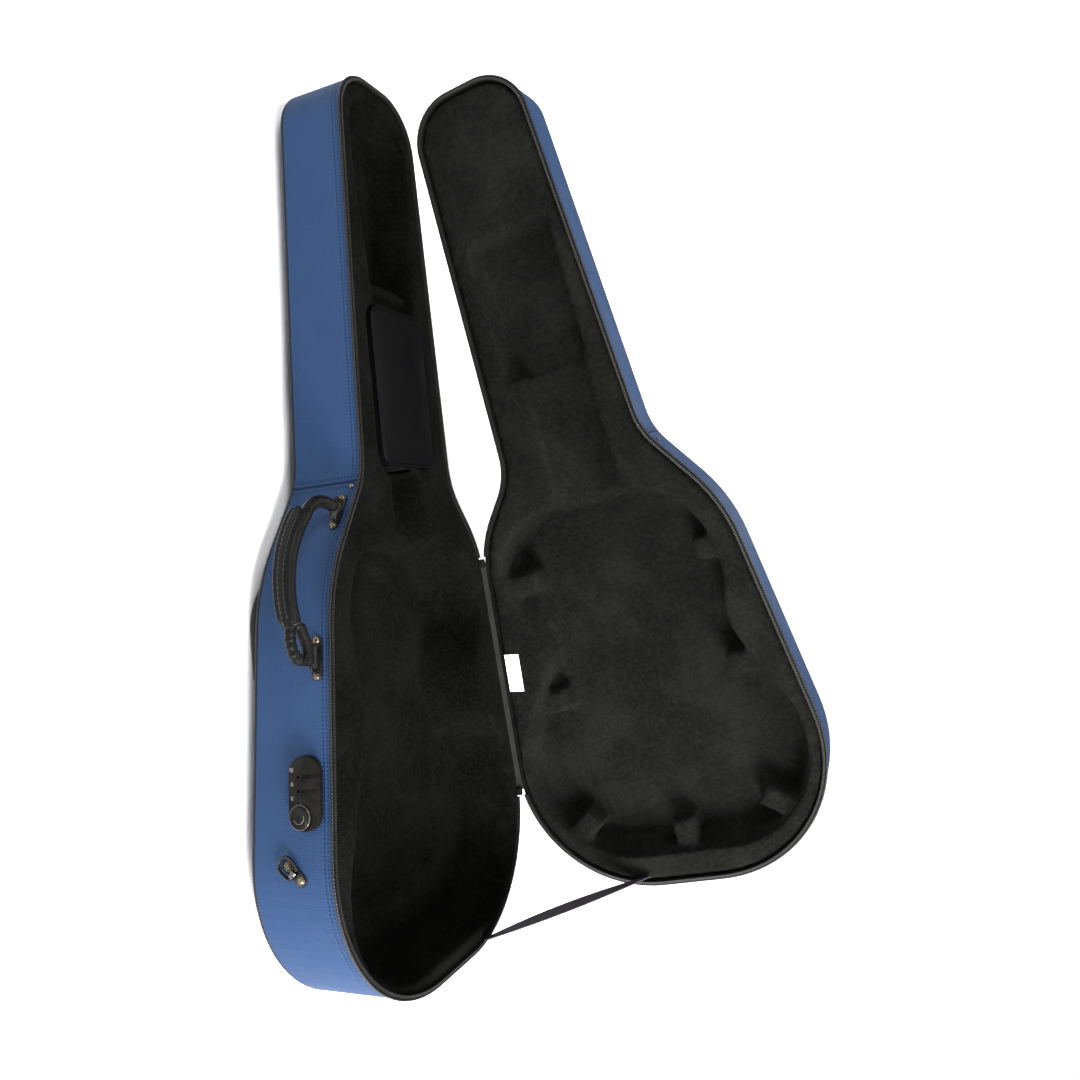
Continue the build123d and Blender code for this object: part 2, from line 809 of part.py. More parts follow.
hardware_holes = []
for along in (upper_bracket_at, lower_bracket_at):
    for screw_x in (-screw_spacing / 2, screw_spacing / 2):
        hardware_holes.append(bore(bracket_plane(along), screw_x, 0, screw_shank + lay, bore_deep))

for side in (-1, 1):
    for end in (-1, 1):
        hardware_holes.append(bore(ring_plane(side), end * ring_rivet_reach, 0, screw_shank + lay, bore_deep))
base_stud = wall_plane(-1, stud_at, stud_up)
lid_stud = wall_plane(-1, lid_stud_at, lid_stud_up)
hardware_holes.append(bore(base_stud, 0, 0, screw_shank + lay, bore_deep))

# Base
keep("base_shell", base_tub() - hardware_holes)
keep("base_side_cloth", base_band() - hardware_holes)
keep("back_panel", panel(back_plane, 1))
keep("back_piping", edge_piping(back_plane, 1, piping_radius))
keep("base_rim_piping", rim_piping(rim + rim_piping_radius + lay))
keep("base_zip", zip_row(rim))
keep("hinge_tape_base", hinge_leaf(rim, rim + zip_gap / 2 - axis_clearance))
foam = base_foam()
keep("base_foam", foam)
keep("neck_cradle", neck_cradle())
keep("accessory_box", box_tray())
keep("box_flap", box_flap())
keep("flap_hinge_strip", flap_hinge_strip())
keep("yoke_pad", yoke())
for side, name in ((-1, "handle_side"), (1, "hinge_side")):
    keep("carrying_strap_" + name, carrying_strap(side))

# Hardware on the base
for along, name in ((upper_bracket_at, "upper"), (lower_bracket_at, "lower")):
    keep("handle_bracket_" + name, bracket(along))
screws = []
for along in (upper_bracket_at, lower_bracket_at):
    place = bracket_plane(along)
    for screw_x in (-screw_spacing / 2, screw_spacing / 2):
        screws.append(sunk_screw(place, screw_x, 0, plate_thick, screw_head, screw_shank, screw_long))
keep("bracket_screws", screws)
rivets = []
for side in (-1, 1):
    for end in (-1, 1):
        rivet_x = end * ring_rivet_reach
        sink = plate_thick + lay
        rivets.append(sunk_screw(ring_plane(side), rivet_x, 0, sink, screw_head, screw_shank, screw_long))
keep("ring_rivets", rivets)
keep("seam_stud", sunk_screw(base_stud, 0, 0, lay, stud_radius, screw_shank, screw_long - plate_thick))
keep("handle_grip", handle_grip())
keep("handle_loops", handle_loops())
keep("lock_body", lock_body())
for index in range(3):
    keep(f"lock_dial_{index + 1}", lock_dial(index))
keep("lock_button", lock_button())
keep("ring_plates", [ring_plate(-1), ring_plate(1)])
keep("ring_clips", [ring_clip(-1), ring_clip(1)])
keep("strap_ring_handle_side", strap_ring(-1))
keep("strap_ring_hinge_side", strap_ring(1))
keep("slider_upper", slider(1))
keep("slider_lower", slider(-1))
keep("puller_upper", puller(1))
keep("puller_lower", puller(-1))
keep("stay_strap", stay_strap())

# Lid
lid_stud_hole = bore(lid_stud, 0, 0, screw_shank + lay, bore_deep)
keep_lid("lid_shell", lid_tub() - lid_stud_hole)
keep_lid("lid_side_cloth", lid_band() - lid_stud_hole)
keep_lid("lid_stud", sunk_screw(lid_stud, 0, 0, lay, stud_radius, screw_shank, screw_long - plate_thick))
keep_lid("lid_panel", panel(lid_plane, -1))
keep_lid("lid_piping", edge_piping(lid_plane, -1, piping_radius))
keep_lid("lid_rim_piping", rim_piping(lid_rim - rim_piping_radius - lay))
keep_lid("lid_zip", zip_row(lid_rim - zip_tall))
keep_lid("hinge_tape_lid", hinge_leaf(lid_rim - zip_gap / 2 + axis_clearance, lid_rim))
lining = lid_foam()
keep_lid("lid_foam", lining)
keep_lid("foam_blocks", foam_blocks(lining))
keep_lid("label_patch", label_patch())
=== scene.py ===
import json
import math

import bpy
from mathutils import Matrix, Vector, kdtree

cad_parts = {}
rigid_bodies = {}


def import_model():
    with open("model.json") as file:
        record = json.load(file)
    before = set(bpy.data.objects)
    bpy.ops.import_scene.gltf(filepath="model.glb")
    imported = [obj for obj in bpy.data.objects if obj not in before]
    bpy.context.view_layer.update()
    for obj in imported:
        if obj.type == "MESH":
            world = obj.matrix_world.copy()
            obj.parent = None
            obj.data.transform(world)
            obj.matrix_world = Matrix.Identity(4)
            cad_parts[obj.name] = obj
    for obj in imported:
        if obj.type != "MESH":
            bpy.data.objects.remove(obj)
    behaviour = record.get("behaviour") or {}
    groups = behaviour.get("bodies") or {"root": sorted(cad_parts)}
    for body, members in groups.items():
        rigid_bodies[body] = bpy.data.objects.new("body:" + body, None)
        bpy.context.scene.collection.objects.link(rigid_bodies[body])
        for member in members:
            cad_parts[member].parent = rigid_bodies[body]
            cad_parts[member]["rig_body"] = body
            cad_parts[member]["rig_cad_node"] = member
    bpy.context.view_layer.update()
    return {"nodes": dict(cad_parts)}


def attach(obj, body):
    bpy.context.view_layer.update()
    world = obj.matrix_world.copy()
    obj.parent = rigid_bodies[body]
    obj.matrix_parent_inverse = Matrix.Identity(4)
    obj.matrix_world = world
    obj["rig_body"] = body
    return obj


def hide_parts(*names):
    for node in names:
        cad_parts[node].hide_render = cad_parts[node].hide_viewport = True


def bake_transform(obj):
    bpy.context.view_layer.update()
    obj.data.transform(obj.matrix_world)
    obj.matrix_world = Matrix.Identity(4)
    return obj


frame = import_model()
bpy.ops.object.select_all(action="DESELECT")

# How the case lies: its own frame has the rim level, and is turned and moved to stand on its straps
caseSizes = {
    "length": 1.080, "tailDepth": 0.1078, "headDepth": 0.083, "zipGap": 0.008, "openAngle": 91.3,
    "yokeAt": 0.610, "strapThick": 0.019,
}
hingeLine = {"start": (0.2373, 0.0, 0.1118), "end": (0.1612, 0.5073, 0.1118)}
outlineCorners = [
    ((0.2373, 0.0), 0.165), ((0.1612, 0.5073), 0.160), ((0.096, 0.588), 0.090),
    ((0.0765, 1.080), 0.060), ((-0.0765, 1.080), 0.060), ((-0.102, 0.5957), 0.090),
    ((-0.1782, 0.4819), 0.210), ((-0.239, 0.0), 0.178),
]
rimHeight = caseSizes["tailDepth"]
lidRimHeight = rimHeight + caseSizes["zipGap"]
backTilt = math.atan2(caseSizes["tailDepth"] - caseSizes["headDepth"], caseSizes["length"])
baseToRest = Matrix.Translation((0, -caseSizes["yokeAt"], caseSizes["strapThick"]))
baseToRest = baseToRest @ Matrix.Rotation(-backTilt, 4, "X")
hingeStart = Vector(hingeLine["start"])
hingeDirection = (Vector(hingeLine["end"]) - hingeStart).normalized()
lidTurn = Matrix.Rotation(math.radians(caseSizes["openAngle"]), 4, hingeDirection)
lidTurn = Matrix.Translation(hingeStart) @ lidTurn @ Matrix.Translation(-hingeStart)
lidToRest = baseToRest @ lidTurn


# Camera at the photograph's angle, lights and floor
view = {
    "place": (-0.977507, -0.116078, 0.717034), "right": (0.407149, -0.075871, 0.910205),
    "up": (0.016839, 0.996998, 0.075574), "lens": 31.151, "sensor": 36, "near": 0.01, "far": 60,
}
lamps = [
    {
        "name": "tailSoftbox", "place": (-0.85, -1.7, 0.95), "aim": (-0.1, -0.35, 0.1),
        "size": (0.8, 0.8), "power": 160,
    },
    {
        "name": "lidSoftbox", "place": (1.2, 0.45, 1.5), "aim": (0.3, 0.1, 0.5),
        "size": (0.9, 1.2), "power": 30,
    },
    {
        "name": "sideSoftbox", "place": (-1.1, 1.3, 1.5), "aim": (-0.1, 0.45, 0.1),
        "size": (0.8, 0.8), "power": 50,
    },
]
skylight = {"from": (-0.26, -0.24, 1.0), "strength": 4.9, "spread": 26}
studio = {"glow": 0.42, "backdrop": 1.0}


def setCamera():
    camera = bpy.data.objects.new("photoCamera", bpy.data.cameras.new("photoCamera"))
    bpy.context.scene.collection.objects.link(camera)
    right, up = Vector(view["right"]), Vector(view["up"])
    back = right.cross(up)
    turn = Matrix((right, up, back)).transposed().to_4x4()
    camera.matrix_world = Matrix.Translation(view["place"]) @ turn
    camera.data.lens = view["lens"]
    camera.data.sensor_width = view["sensor"]
    camera.data.clip_start = view["near"]
    camera.data.clip_end = view["far"]
    bpy.context.scene.camera = camera


def setLamps():
    for lamp in lamps:
        light = bpy.data.lights.new(lamp["name"], "AREA")
        light.shape = "RECTANGLE"
        light.size, light.size_y = lamp["size"]
        light.energy = lamp["power"]
        holder = bpy.data.objects.new(lamp["name"], light)
        bpy.context.scene.collection.objects.link(holder)
        holder.location = lamp["place"]
        toAim = Vector(lamp["aim"]) - Vector(lamp["place"])
        holder.rotation_euler = toAim.to_track_quat("-Z", "Y").to_euler()
    world = bpy.data.worlds.new("paleStudio")
    bpy.context.scene.world = world
    world.use_nodes = True
    nodes, links = world.node_tree.nodes, world.node_tree.links
    path = nodes.new("ShaderNodeLightPath")  # the camera sees a white studio, the case is lit by a dimmer one
    strength = nodes.new("ShaderNodeMapRange")
    strength.inputs["To Min"].default_value = studio["glow"]
    strength.inputs["To Max"].default_value = studio["backdrop"]
    links.new(path.outputs["Is Camera Ray"], strength.inputs["Value"])
    links.new(strength.outputs["Result"], nodes["Background"].inputs["Strength"])
    nodes["Background"].inputs["Color"].default_value = (1, 1, 1, 1)
    sun = bpy.data.lights.new("skylight", "SUN")
    sun.energy = skylight["strength"]
    sun.angle = math.radians(skylight["spread"])
    holder = bpy.data.objects.new("skylight", sun)
    bpy.context.scene.collection.objects.link(holder)
    holder.rotation_euler = Vector(skylight["from"]).to_track_quat("Z", "Y").to_euler()
    bpy.context.scene.view_settings.view_transform = "Standard"


setCamera()
setLamps()
print("camera and lamps set")


# The outline of the case in plan, as points and as the way round them
def roundedLoop(corners, step):
    # points of a closed outline whose corners are rounded
    points = []
    count = len(corners)
    for index in range(count):
        before, (corner, radius), after = corners[index - 1], corners[index], corners[(index + 1) % count]
        corner = Vector(corner)
        toBefore = (Vector(before[0]) - corner).normalized()
        toAfter = (Vector(after[0]) - corner).normalized()
        half = toBefore.angle(toAfter) / 2
        start = corner + toBefore * (radius / math.tan(half))
        end = corner + toAfter * (radius / math.tan(half))
        centre = corner + (toBefore + toAfter).normalized() * (radius / math.sin(half))
        arm = start - centre
        sweep = arm.angle_signed(end - centre)
        pieces = max(2, round(abs(sweep) * radius / step))
        for number in range(pieces + 1):
            turned = -sweep * number / pieces
            cosine, sine = math.cos(turned), math.sin(turned)
            points.append(centre + Vector((arm.x * cosine - arm.y * sine, arm.x * sine + arm.y * cosine)))
    even = []
    for index, point in enumerate(points):
        follower = points[(index + 1) % len(points)]
        parts = max(1, round((follower - point).length / step))
        even += [point.lerp(follower, number / parts) for number in range(parts)]
    tooClose = step * 0.2
    return [point for index, point in enumerate(even) if (point - even[index - 1]).length > tooClose]


outline = roundedLoop(outlineCorners, 0.004)
outlineArc = [0.0]
for index in range(1, len(outline) + 1):
    outlineArc.append(outlineArc[-1] + (outline[index % len(outline)] - outline[index - 1]).length)
outlineTree = kdtree.KDTree(len(outline))
for index, point in enumerate(outline):
    outlineTree.insert((*point, 0), index)
outlineTree.balance()


def outlineAt(side, along):
    # the outline's point this far along the case, the way outward there, and the run round to it
    sameSide = [index for index in range(len(outline)) if outline[index].x * side > 0]
    best = min(sameSide, key=lambda index: abs(outline[index].y - along))
    ahead = (outline[(best + 1) % len(outline)] - outline[best - 1]).normalized()
    outward = Vector((ahead.y, -ahead.x))
    outward = outward if outward.x * side > 0 else -outward
    point = outline[best] + ahead * ((along - outline[best].y) / ahead.y)
    return point, outward, outlineArc[best]


seamAlong = 0.590
wallSeams = [outlineAt(side, seamAlong)[2] for side in (-1, 1)]


# Shader building: a socket that takes Python's operators, and a finish that adds nodes
class Wire:
    def __init__(self, tree, socket):
        self.tree = tree
        self.socket = socket

    def math(self, operation, first, second=None):
        node = self.tree.nodes.new("ShaderNodeMath")
        node.operation = operation
        for index, value in enumerate((first, second)):
            if isinstance(value, Wire):
                self.tree.links.new(value.socket, node.inputs[index])
            elif value is not None:
                node.inputs[index].default_value = value
        return Wire(self.tree, node.outputs[0])

    def __add__(self, other): return self.math("ADD", self, other)
    def __radd__(self, other): return self.math("ADD", other, self)
    def __sub__(self, other): return self.math("SUBTRACT", self, other)
    def __rsub__(self, other): return self.math("SUBTRACT", other, self)
    def __mul__(self, other): return self.math("MULTIPLY", self, other)
    def __rmul__(self, other): return self.math("MULTIPLY", other, self)
    def __truediv__(self, other): return self.math("DIVIDE", self, other)
    def __lt__(self, other): return self.math("LESS_THAN", self, other)
    def __gt__(self, other): return self.math("GREATER_THAN", self, other)
    def __abs__(self): return self.math("ABSOLUTE", self)
    def sine(self): return self.math("SINE", self)
    def fraction(self): return self.math("FRACT", self)

    def ramp(self, low, high, outLow=0.0, outHigh=1.0):
        # a smooth step from outLow to outHigh as the value runs from low to high
        node = self.tree.nodes.new("ShaderNodeMapRange")
        node.interpolation_type = "SMOOTHSTEP"
        self.tree.links.new(self.socket, node.inputs["Value"])
        for name, value in (("From Min", low), ("From Max", high), ("To Min", outLow), ("To Max", outHigh)):
            node.inputs[name].default_value = value
        return Wire(self.tree, node.outputs["Result"])


class Finish:
    def __init__(self, name, **fixed):
        self.material = bpy.data.materials.new(name)
        self.material.use_nodes = True
        self.tree = self.material.node_tree
        self.shader = self.tree.nodes["Principled BSDF"]
        for socketName, value in fixed.items():
            socket = self.shader.inputs[socketName.replace("_", " ")]
            socket.default_value = (*value, 1) if isinstance(value, tuple) else value

    def add(self, kind, settings=None, sockets=None, output=0):
        node = self.tree.nodes.new(kind)
        for name, value in (settings or {}).items():
            setattr(node, name, value)
        for name, value in (sockets or {}).items():
            if isinstance(value, Wire):
                self.tree.links.new(value.socket, node.inputs[name])
            else:
                node.inputs[name].default_value = value
        return Wire(self.tree, node.outputs[output])

    def place(self):
        return self.add("ShaderNodeTexCoord", output="Object")

    def wrap(self):
        return self.add("ShaderNodeUVMap", {"uv_map": "wrap"})

    def parts(self, vector):
        split = self.add("ShaderNodeSeparateXYZ", sockets={0: vector})
        return [Wire(self.tree, split.socket.node.outputs[index]) for index in range(3)]

    def noise(self, vector, scale, detail=3.0, roughness=0.55):
        sockets = {"Vector": vector, "Scale": scale, "Detail": detail, "Roughness": roughness}
        return self.add("ShaderNodeTexNoise", sockets=sockets)

    def shade(self, amount, first, second):
        # from the first colour to the second as the amount runs from 0 to 1
        colours = [colour if isinstance(colour, Wire) else (*colour, 1) for colour in (first, second)]
        sockets = {0: amount, 6: colours[0], 7: colours[1]}
        return self.add("ShaderNodeMix", {"data_type": "RGBA"}, sockets, output=2)

    def feed(self, socketName, wire):
        self.tree.links.new(wire.socket, self.shader.inputs[socketName])

    def bump(self, height, distance, strength=1.0):
        sockets = {"Height": height, "Distance": distance, "Strength": strength}
        self.feed("Normal", self.add("ShaderNodeBump", sockets=sockets))


turn = 2 * math.pi


def grey(level):
    return (level, level, level)


def clothFinish(name, wrapped, stitchRows=(), seams=()):
    # coarse nylon: a diagonal lattice of threads, rows of stitches along the rim and cross seams with a fold;
    # the fold and the stitch holes are darkened as painted shade
    weave = {
        "thread": 0.0046, "deep": 0.00022, "mottle": 22, "slack": 7,
        "dark": (0.0048, 0.0150, 0.0420), "light": (0.0160, 0.0350, 0.0800),
        "stitchPitch": 0.0042, "stitchWide": 0.0013, "stitchGap": 0.36, "pull": 0.0024,
        "stitch": (0.012, 0.028, 0.066), "hole": (0.002, 0.006, 0.022),
        "seamRow": 0.0062, "foldWide": 0.0021, "foldShade": (0.001, 0.004, 0.016),
    }
    cloth = Finish(name, Specular_IOR_Level=0.06)
    across, along, _ = cloth.parts(cloth.wrap() if wrapped else cloth.place())
    first = ((across + along) * (turn / weave["thread"])).sine()
    second = ((across - along) * (turn / weave["thread"])).sine()
    threads = first * second * 0.5 + 0.5
    mottle = cloth.noise(cloth.place(), weave["mottle"], 4)
    slack = cloth.noise(cloth.place(), weave["slack"], 2)
    contrast = 0.5 if wrapped else 0.3  # the lattice shows less on the flat panels
    tone = threads * contrast + mottle * 0.3 + slack * 0.2 + (0.5 - contrast) / 2
    colour = cloth.shade(tone, weave["dark"], weave["light"])
    height = threads + slack * 5.0
    rows = [(along, row, across) for row in stitchRows]
    for seam in seams:
        rows += [(across, seam + side * weave["seamRow"], along) for side in (-1, 1)]
        foldShade = abs(across - seam).ramp(0.0, weave["foldWide"], 1.0, 0.0)
        # painted shade: the colour darkens along the seam's fold
        colour = cloth.shade(foldShade * 0.85, colour, weave["foldShade"])
        height = height - foldShade * 9.0 + abs(across - seam).ramp(0.002, 0.012, 3.0, 0.0)
    for cut, row, run in rows:
        away = abs(cut - row)
        gap = (run / weave["stitchPitch"]).fraction()
        stitch = (away < weave["stitchWide"] / 2) * (gap > weave["stitchGap"])
        hole = (away < weave["stitchWide"] * 0.75) * (gap < weave["stitchGap"])
        colour = cloth.shade(stitch * 0.7, colour, weave["stitch"])
        # painted shade: the stitch holes are darkened
        colour = cloth.shade(hole * 0.9, colour, weave["hole"])
        height = height - away.ramp(0.0, weave["pull"], 3.0, 0.0) + stitch * 3.0
    cloth.feed("Base Color", colour)
    cloth.feed("Roughness", mottle.ramp(0.2, 0.8, 0.55, 0.72))
    cloth.bump(height, weave["deep"], 0.9)
    return cloth.material


def plushFinish(name, dark, light, sheen, shine):
    # short pile: fine specks, and soft patches where it was brushed the other way
    nap = {"brushed": 11, "tufts": 190, "hairs": 620, "tint": (0.85, 0.84, 0.78), "deep": 0.0016}
    plush = Finish(
        name, Sheen_Weight=sheen, Sheen_Roughness=0.5, Sheen_Tint=nap["tint"], Specular_IOR_Level=shine,
    )
    place = plush.place()
    brushed = plush.noise(place, nap["brushed"], 5, 0.6)
    tufts = plush.noise(place, nap["tufts"], 3, 0.7)
    hairs = plush.noise(place, nap["hairs"], 2, 0.7)
    tone = brushed.ramp(0.38, 0.66) * 0.4 + tufts.ramp(0.34, 0.68) * 0.4 + hairs.ramp(0.3, 0.75) * 0.2
    plush.feed("Base Color", plush.shade(tone, dark, light))
    plush.feed("Roughness", hairs.ramp(0.2, 0.8, 0.82, 0.98))
    plush.bump(hairs * 0.5 + tufts + brushed * 1.5, nap["deep"], 0.85)
    return plush.material


def leatherFinish(name, dark, light, grain, roughness, deep, shine):
    # cells with pores between them, and patches worn smoother
    leather = Finish(name, Specular_IOR_Level=shine)
    place = leather.place()
    sockets = {"Vector": place, "Scale": grain}
    cells = leather.add("ShaderNodeTexVoronoi", {"feature": "DISTANCE_TO_EDGE"}, sockets, output="Distance")
    worn = leather.noise(place, 28, 4)
    pores = cells.ramp(0.0, 0.18)
    leather.feed("Base Color", leather.shade(pores * 0.5 + worn * 0.5, dark, light))
    leather.feed("Roughness", worn.ramp(0.3, 0.75, roughness - 0.07, roughness + 0.09))
    leather.bump(pores + worn * 0.4, deep, 0.6)
    return leather.material


def hardFinish(name, dark, light, roughness, metallic=0.0, grain=0.00004, shine=0.3):
    # metal and plastic: a fine grain and patches of wear
    hard = Finish(name, Metallic=metallic, Specular_IOR_Level=shine)
    place = hard.place()
    fine = hard.noise(place, 900, 3, 0.6)
    worn = hard.noise(place, 60, 4)
    hard.feed("Base Color", hard.shade(worn.ramp(0.3, 0.7) * 0.7 + fine * 0.3, dark, light))
    hard.feed("Roughness", worn.ramp(0.25, 0.75, max(0.02, roughness - 0.07), roughness + 0.08))
    hard.bump(fine + worn * 0.5, grain, 0.6)
    return hard.material


def ribFinish(name, dark, light, pitch, deep, roughness, crossPitch=0.0):
    # ribs across a tape, such as a zip's coil or webbing, counted along the wrapped map
    ribs = Finish(name, Specular_IOR_Level=0.15)
    across, along, _ = ribs.parts(ribs.wrap())
    wave = (across * (turn / pitch)).sine() * 0.5 + 0.5
    if crossPitch:
        wave = wave * 0.6 + ((along * (turn / crossPitch)).sine() * 0.5 + 0.5) * 0.4
    worn = ribs.noise(ribs.place(), 40, 3)
    ribs.feed("Base Color", ribs.shade(wave * 0.6 + worn * 0.4, dark, light))
    ribs.feed("Roughness", worn.ramp(0.3, 0.7, roughness - 0.06, roughness + 0.08))
    ribs.bump(wave, deep, 1.0)
    return ribs.material


finishes = {
    "baseCloth": clothFinish("blueClothBase", True, (rimHeight - 0.004, rimHeight - 0.009), wallSeams),
    "lidCloth": clothFinish("blueClothLid", True, (lidRimHeight + 0.004, lidRimHeight + 0.009), wallSeams),
    "panelCloth": clothFinish("blueClothPanel", False),
    # painted shade: the base lining takes a darker copy of the same plush as the lid lining, for the shade
    # inside the base's cavity
    "basePlushPaintedShade": plushFinish("basePlushPaintedShade", grey(0.0004), (0.0036, 0.0036, 0.0031), 0.004, 0.015),
    "lidPlush": plushFinish("lidPlush", (0.0018, 0.0018, 0.0015), (0.0078, 0.0077, 0.0067), 0.007, 0.02),
    "padCloth": plushFinish("padCloth", (0.004, 0.004, 0.0045), (0.014, 0.014, 0.0155), 0.05, 0.1),
    "handleLeather": leatherFinish(
        "handleLeather", grey(0.0015), (0.0050, 0.0050, 0.0048), 900, 0.24, 0.00010, 0.045,
    ),
    "flapLeather": leatherFinish(
        "flapLeather", (0.001, 0.001, 0.0012), (0.0020, 0.0020, 0.0022), 1500, 0.5, 0.00004, 0.03,
    ),
    "piping": hardFinish("blackPiping", grey(0.001), grey(0.006), 0.4, grain=0.00006),
    "shell": hardFinish(
        "mouldedShell", grey(0.0008), (0.0038, 0.0038, 0.0034), 0.85, grain=0.0001, shine=0.03,
    ),
    "tray": hardFinish("boxTray", grey(0.001), grey(0.0035), 0.85, grain=0.0001, shine=0.03),
    "zip": ribFinish("zipCoil", grey(0.001), (0.012, 0.0115, 0.0105), 0.0026, 0.0006, 0.45),
    "webbing": ribFinish(
        "webbing", (0.006, 0.005, 0.007), (0.042, 0.037, 0.047), 0.0030, 0.0003, 0.75, 0.0022,
    ),
    "cord": ribFinish("pipingCord", grey(0.0008), (0.0075, 0.0072, 0.0066), 0.0036, 0.0003, 0.42),
    "hingeTape": ribFinish(
        "hingeTape", (0.001, 0.001, 0.0009), (0.0075, 0.0073, 0.0064), 0.0030, 0.0003, 0.8, 0.0022,
    ),
    "thread": hardFinish("handleThread", (0.005, 0.005, 0.0048), (0.026, 0.026, 0.025), 0.6, grain=0.00002),
    # painted highlight: a lighter, half-metal finish for the glints on the lock button's rim, its crescent
    # and the slot ends
    "lockGlint": hardFinish("lockGlint", (0.02, 0.019, 0.017), (0.07, 0.066, 0.058), 0.28, 0.6, 0.00002),
    "blackMetal": hardFinish(
        "blackMetal", grey(0.0015), (0.007, 0.0068, 0.0064), 0.26, grain=0.00003, shine=0.1,
    ),
    "glossMetal": hardFinish(
        "glossBlackMetal", (0.0012, 0.0012, 0.0013), (0.004, 0.004, 0.0044), 0.12, grain=0.00001, shine=0.14,
    ),
    "brightMetal": hardFinish("brightMetal", (0.03, 0.03, 0.029), (0.11, 0.11, 0.107), 0.16, 1.0, 0.00001),
    "brass": hardFinish("dullBrass", (0.02, 0.015, 0.009), (0.15, 0.12, 0.08), 0.25, 1.0, 0.00003),
    "lock": hardFinish(
        "lockHousing", (0.0022, 0.0021, 0.0018), (0.0062, 0.0060, 0.0052), 0.3, grain=0.0001, shine=0.035,
    ),
    "dial": hardFinish("dialPlastic", (0.01, 0.01, 0.0095), (0.05, 0.05, 0.047), 0.3),
    "label": hardFinish("bareLabel", (0.74, 0.74, 0.75), grey(0.84), 0.6, grain=0.00005),
    "floor": hardFinish("paleFloor", (0.66, 0.66, 0.67), (0.69, 0.69, 0.70), 0.95, grain=0.00002),
}
print("finishes made:", len(finishes))


# Making, finishing and wrapping pieces
def only(piece):
    bpy.ops.object.select_all(action="DESELECT")
    piece.select_set(True)
    bpy.context.view_layer.objects.active = piece
    return piece


def setFinish(piece, finishName):
    piece.data.materials.clear()
    piece.data.materials.append(finishes[finishName])


def applyModifier(piece, kind, **settings):
    only(piece)
    modifier = piece.modifiers.new(kind.title(), kind)
    for name, value in settings.items():
        setattr(modifier, name, value)
    bpy.ops.object.modifier_apply(modifier=modifier.name)


def copyNodes(pieceName, *nodes):
    # one piece that starts as merged copies of CAD nodes
    copies = []
    for node in nodes:
        copy = frame["nodes"][node].copy()
        copy.data = copy.data.copy()
        copy.parent = None
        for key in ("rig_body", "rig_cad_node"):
            del copy[key]
        bpy.context.scene.collection.objects.link(copy)
        copies.append(copy)
    bpy.ops.object.select_all(action="DESELECT")
    for copy in copies:
        copy.select_set(True)
    bpy.context.view_layer.objects.active = copies[0]
    if len(copies) > 1:
        bpy.ops.object.join()
    piece = bpy.context.view_layer.objects.active
    piece.name = pieceName
    piece.data.name = pieceName
    bpy.ops.object.mode_set(mode="EDIT")
    bpy.ops.mesh.select_all(action="SELECT")
    bpy.ops.mesh.remove_doubles(threshold=0.00001)
    bpy.ops.object.mode_set(mode="OBJECT")
    return piece


def settle(piece, finishName, body, *nodes):
    setFinish(piece, finishName)
    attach(piece, body)
    if nodes:
        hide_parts(*nodes)
    return piece


def wrapPiece(piece, toRest):
    # a map in metres: across runs round the case, along is the height in the case's own frame
    toCase = toRest.inverted()
    layer = piece.data.uv_layers.new(name="wrap")
    across, along = {}, {}
    for vertex in piece.data.vertices:
        point = toCase @ vertex.co
        _, nearest, _ = outlineTree.find((point.x, point.y, 0))
        ahead = outline[(nearest + 1) % len(outline)] - outline[nearest - 1]
        offset = Vector((point.x, point.y)) - outline[nearest]
        across[vertex.index] = outlineArc[nearest] + offset.dot(ahead.normalized())
        along[vertex.index] = point.z
    for face in piece.data.polygons:
        values = [across[vertex] for vertex in face.vertices]
        wrapRound = max(values) - min(values) > outlineArc[-1] / 2
        for loop, vertex in zip(face.loop_indices, face.vertices):
            value = across[vertex]
            if wrapRound and value < outlineArc[-1] / 2:
                value += outlineArc[-1]
            layer.data[loop].uv = (value, along[vertex])


def softCopy(pieceName, voxel, smoothing, *nodes):
    # foam under plush: merged copies whose edges are rounded off
    piece = copyNodes(pieceName, *nodes)
    applyModifier(piece, "REMESH", mode="VOXEL", voxel_size=voxel)
    applyModifier(piece, "SMOOTH", factor=0.5, iterations=smoothing)
    only(piece)
    bpy.ops.object.shade_smooth()
    return piece


def tube(pieceName, points, radius):
    # a round cord through points, kept as a mesh
    curve = bpy.data.curves.new(pieceName, "CURVE")
    curve.dimensions = "3D"
    spline = curve.splines.new("POLY")
    spline.points.add(len(points) - 1)
    for spot, point in zip(spline.points, points):
        spot.co = (*point, 1)
    curve.bevel_depth = radius
    curve.bevel_resolution = 2
    curve.use_fill_caps = True
    piece = bpy.data.objects.new(pieceName, curve)
    bpy.context.scene.collection.objects.link(piece)
    only(piece)
    bpy.ops.object.convert(target="MESH")
    bpy.ops.object.shade_smooth()
    return bpy.context.active_object


def joined(pieceName, pieces):
    bpy.ops.object.select_all(action="DESELECT")
    for piece in pieces:
        piece.select_set(True)
    bpy.context.view_layer.objects.active = pieces[0]
    bpy.ops.object.join()
    piece = bpy.context.active_object
    piece.name = pieceName
    bpy.ops.object.transform_apply(location=True, rotation=True, scale=True)
    return piece


